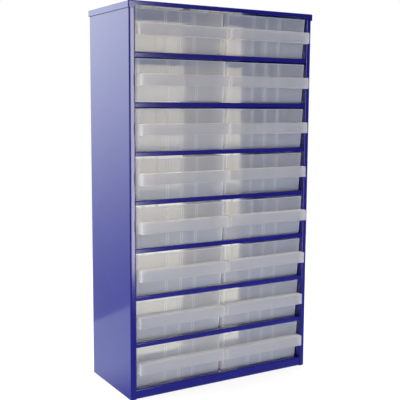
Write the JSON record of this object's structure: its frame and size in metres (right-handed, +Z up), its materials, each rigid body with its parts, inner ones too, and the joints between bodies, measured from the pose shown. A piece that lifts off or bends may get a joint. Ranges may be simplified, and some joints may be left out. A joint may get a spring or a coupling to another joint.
{
  "type": "parts bin cabinet",
  "caption": "Upright folded-steel cabinet of translucent moulded drawers that slide out one by one, each by a full-width hanging pull that also takes a label.",
  "frame": {"origin": "on the floor, at the middle of the bounding box's bottom face, with the drawers as they stand", "axes": "+Z up, -Y out of the drawer fronts, +X to the right seen from the front"},
  "size_m": [0.309, 0.1534, 0.552],
  "materials": {
    "blue_steel": "gloss powder coat",
    "milky_plastic": "translucent moulded polypropylene"
  },
  "bodies": {
    "cabinet": {"left_side_panel": "blue_steel", "right_side_panel": "blue_steel", "base_panel": "blue_steel", "top_lid": "blue_steel", "shelf_1": "blue_steel", "shelf_2": "blue_steel", "shelf_3": "blue_steel", "shelf_4": "blue_steel", "shelf_5": "blue_steel", "shelf_6": "blue_steel", "shelf_7": "blue_steel"},
    "drawer_left_1": {"drawer_left_1": "milky_plastic"},
    "drawer_left_2": {"drawer_left_2": "milky_plastic"},
    "drawer_left_3": {"drawer_left_3": "milky_plastic"},
    "drawer_left_4": {"drawer_left_4": "milky_plastic"},
    "drawer_left_5": {"drawer_left_5": "milky_plastic"},
    "drawer_left_6": {"drawer_left_6": "milky_plastic"},
    "drawer_left_7": {"drawer_left_7": "milky_plastic"},
    "drawer_left_8": {"drawer_left_8": "milky_plastic"},
    "drawer_right_1": {"drawer_right_1": "milky_plastic"},
    "drawer_right_2": {"drawer_right_2": "milky_plastic"},
    "drawer_right_3": {"drawer_right_3": "milky_plastic"},
    "drawer_right_4": {"drawer_right_4": "milky_plastic"},
    "drawer_right_5": {"drawer_right_5": "milky_plastic"},
    "drawer_right_6": {"drawer_right_6": "milky_plastic"},
    "drawer_right_7": {"drawer_right_7": "milky_plastic"},
    "drawer_right_8": {"drawer_right_8": "milky_plastic"}
  },
  "joints": [
    {"name": "drawer_left_1_slide", "type": "slide", "parent": "cabinet", "child": "drawer_left_1", "axis": [0, -1, 0], "range_m": [-0.001, 0.099]},
    {"name": "drawer_left_2_slide", "type": "slide", "parent": "cabinet", "child": "drawer_left_2", "axis": [0, -1, 0], "range_m": [-0.008, 0.092]},
    {"name": "drawer_left_3_slide", "type": "slide", "parent": "cabinet", "child": "drawer_left_3", "axis": [0, -1, 0], "range_m": [-0.008, 0.092]},
    {"name": "drawer_left_4_slide", "type": "slide", "parent": "cabinet", "child": "drawer_left_4", "axis": [0, -1, 0], "range_m": [-0.0085, 0.0915]},
    {"name": "drawer_left_5_slide", "type": "slide", "parent": "cabinet", "child": "drawer_left_5", "axis": [0, -1, 0], "range_m": [-0.008, 0.092]},
    {"name": "drawer_left_6_slide", "type": "slide", "parent": "cabinet", "child": "drawer_left_6", "axis": [0, -1, 0], "range_m": [-0.005, 0.095]},
    {"name": "drawer_left_7_slide", "type": "slide", "parent": "cabinet", "child": "drawer_left_7", "axis": [0, -1, 0], "range_m": [-0.0005, 0.0995]},
    {"name": "drawer_left_8_slide", "type": "slide", "parent": "cabinet", "child": "drawer_left_8", "axis": [0, -1, 0], "range_m": [0, 0.1]},
    {"name": "drawer_right_1_slide", "type": "slide", "parent": "cabinet", "child": "drawer_right_1", "axis": [0, -1, 0], "range_m": [-0.0045, 0.0955]},
    {"name": "drawer_right_2_slide", "type": "slide", "parent": "cabinet", "child": "drawer_right_2", "axis": [0, -1, 0], "range_m": [-0.005, 0.095]},
    {"name": "drawer_right_3_slide", "type": "slide", "parent": "cabinet", "child": "drawer_right_3", "axis": [0, -1, 0], "range_m": [-0.0045, 0.0955]},
    {"name": "drawer_right_4_slide", "type": "slide", "parent": "cabinet", "child": "drawer_right_4", "axis": [0, -1, 0], "range_m": [-0.0025, 0.0975]},
    {"name": "drawer_right_5_slide", "type": "slide", "parent": "cabinet", "child": "drawer_right_5", "axis": [0, -1, 0], "range_m": [-0.0055, 0.0945]},
    {"name": "drawer_right_6_slide", "type": "slide", "parent": "cabinet", "child": "drawer_right_6", "axis": [0, -1, 0], "range_m": [-0.003, 0.097]},
    {"name": "drawer_right_7_slide", "type": "slide", "parent": "cabinet", "child": "drawer_right_7", "axis": [0, -1, 0], "range_m": [0, 0.1]},
    {"name": "drawer_right_8_slide", "type": "slide", "parent": "cabinet", "child": "drawer_right_8", "axis": [0, -1, 0], "range_m": [-0.001, 0.099]}
  ]
}
